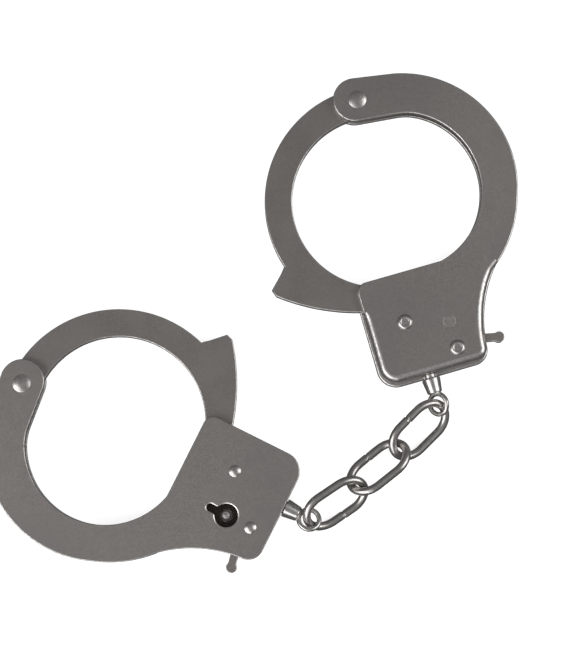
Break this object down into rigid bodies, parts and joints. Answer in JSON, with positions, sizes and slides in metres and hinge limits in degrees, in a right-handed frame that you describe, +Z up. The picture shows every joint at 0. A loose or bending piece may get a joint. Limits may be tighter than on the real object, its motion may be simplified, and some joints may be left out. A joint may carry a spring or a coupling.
{
  "type": "handcuffs",
  "caption": "Pair of swing-through handcuffs with riveted cheek plates, ratchet bows and safety levers, joined by a short chain between two swivels.",
  "frame": {"origin": "centre of the object's box, on the surface that the pair lies on", "axes": "+X along the longer side of the pair as it lies, from cuff B to cuff A; +Z up, away from the surface"},
  "size_m": [0.155, 0.1458, 0.0092],
  "materials": {
    "plate_steel": "satin nickel-plated sheet steel, fine tumbled grain",
    "lever_steel": "plain stamped steel",
    "spring_steel": "spring steel strip",
    "rivet_nickel": "bright nickel-plated rivet",
    "post_steel": "turned steel",
    "swivel_nickel": "bright nickel plating",
    "chain_nickel": "dark nickel-plated wire"
  },
  "bodies": {
    "cuff_a_housing": {"cuff_a_formed_cheek": "plate_steel", "cuff_a_flat_cheek": "plate_steel", "cuff_a_pivot_rivet": "rivet_nickel", "cuff_a_stop_rivet": "rivet_nickel", "cuff_a_pawl_rivet": "rivet_nickel", "cuff_a_key_post": "post_steel", "cuff_a_pawl_spring": "spring_steel"},
    "cuff_a_bow": {"cuff_a_bow": "plate_steel"},
    "cuff_a_pawl": {"cuff_a_pawl": "lever_steel"},
    "cuff_a_swivel": {"cuff_a_swivel": "swivel_nickel"},
    "link_1": {"chain_link_1": "chain_nickel"},
    "link_2": {"chain_link_2": "chain_nickel"},
    "link_3": {"chain_link_3": "chain_nickel"},
    "cuff_b_swivel": {"cuff_b_swivel": "swivel_nickel"},
    "cuff_b_housing": {"cuff_b_formed_cheek": "plate_steel", "cuff_b_flat_cheek": "plate_steel", "cuff_b_pivot_rivet": "rivet_nickel", "cuff_b_stop_rivet": "rivet_nickel", "cuff_b_pawl_rivet": "rivet_nickel", "cuff_b_key_post": "post_steel", "cuff_b_pawl_spring": "spring_steel"},
    "cuff_b_bow": {"cuff_b_bow": "plate_steel"},
    "cuff_b_pawl": {"cuff_b_pawl": "lever_steel"}
  },
  "joints": [
    {"name": "cuff_a_bow_swing", "type": "hinge", "parent": "cuff_a_housing", "child": "cuff_a_bow", "pos_m": [0.03065, 0.065, 0.0046], "axis": [0, 0, 1], "continuous": true},
    {"name": "cuff_a_lever_press", "type": "hinge", "parent": "cuff_a_housing", "child": "cuff_a_pawl", "pos_m": [0.05952, -0.00776, 0.0046], "axis": [0, 0, 1], "range_deg": [-2.3, 4], "stiffness_Nm_per_rad": 0.02, "deforming": ["cuff_a_pawl_spring"]},
    {"name": "cuff_a_swivel_turn", "type": "hinge", "parent": "cuff_a_housing", "child": "cuff_a_swivel", "pos_m": [0.05133, -0.01438, 0.0046], "axis": [0.2756, -0.9613, 0], "continuous": true},
    {"name": "eye_a_link_1", "type": "hinge", "parent": "cuff_a_swivel", "child": "link_1", "pos_m": [0.05455, -0.02694, 0.0043], "axis": [0.7768, 0.06, 0.6269], "range_deg": [-8, 60]},
    {"name": "link_1_link_2", "type": "hinge", "parent": "link_1", "child": "link_2", "pos_m": [0.04199, -0.03847, 0.00357], "axis": [0.6728, -0.5408, -0.5048], "range_deg": [-60, 30]},
    {"name": "link_2_link_3", "type": "hinge", "parent": "link_2", "child": "link_3", "pos_m": [0.02917, -0.04827, 0.00425], "axis": [0.5179, -0.6299, 0.5789], "range_deg": [-35, 60]},
    {"name": "link_3_eye_b", "type": "hinge", "parent": "link_3", "child": "cuff_b_swivel", "pos_m": [0.01567, -0.05623, 0.0057], "axis": [0.015, -0.8448, -0.5349], "range_deg": [-2, 60]},
    {"name": "cuff_b_swivel_turn", "type": "hinge", "parent": "cuff_b_swivel", "child": "cuff_b_housing", "pos_m": [0.00749, -0.053, 0.0046], "axis": [0.8949, -0.4462, 0], "continuous": true},
    {"name": "cuff_b_bow_swing", "type": "hinge", "parent": "cuff_b_housing", "child": "cuff_b_bow", "pos_m": [-0.06679, -0.0182, 0.0046], "axis": [0, 0, -1], "continuous": true},
    {"name": "cuff_b_lever_press", "type": "hinge", "parent": "cuff_b_housing", "child": "cuff_b_pawl", "pos_m": [-0.00051, -0.05985, 0.0046], "axis": [0, 0, -1], "range_deg": [-2.3, 4], "stiffness_Nm_per_rad": 0.02, "deforming": ["cuff_b_pawl_spring"]}
  ]
}
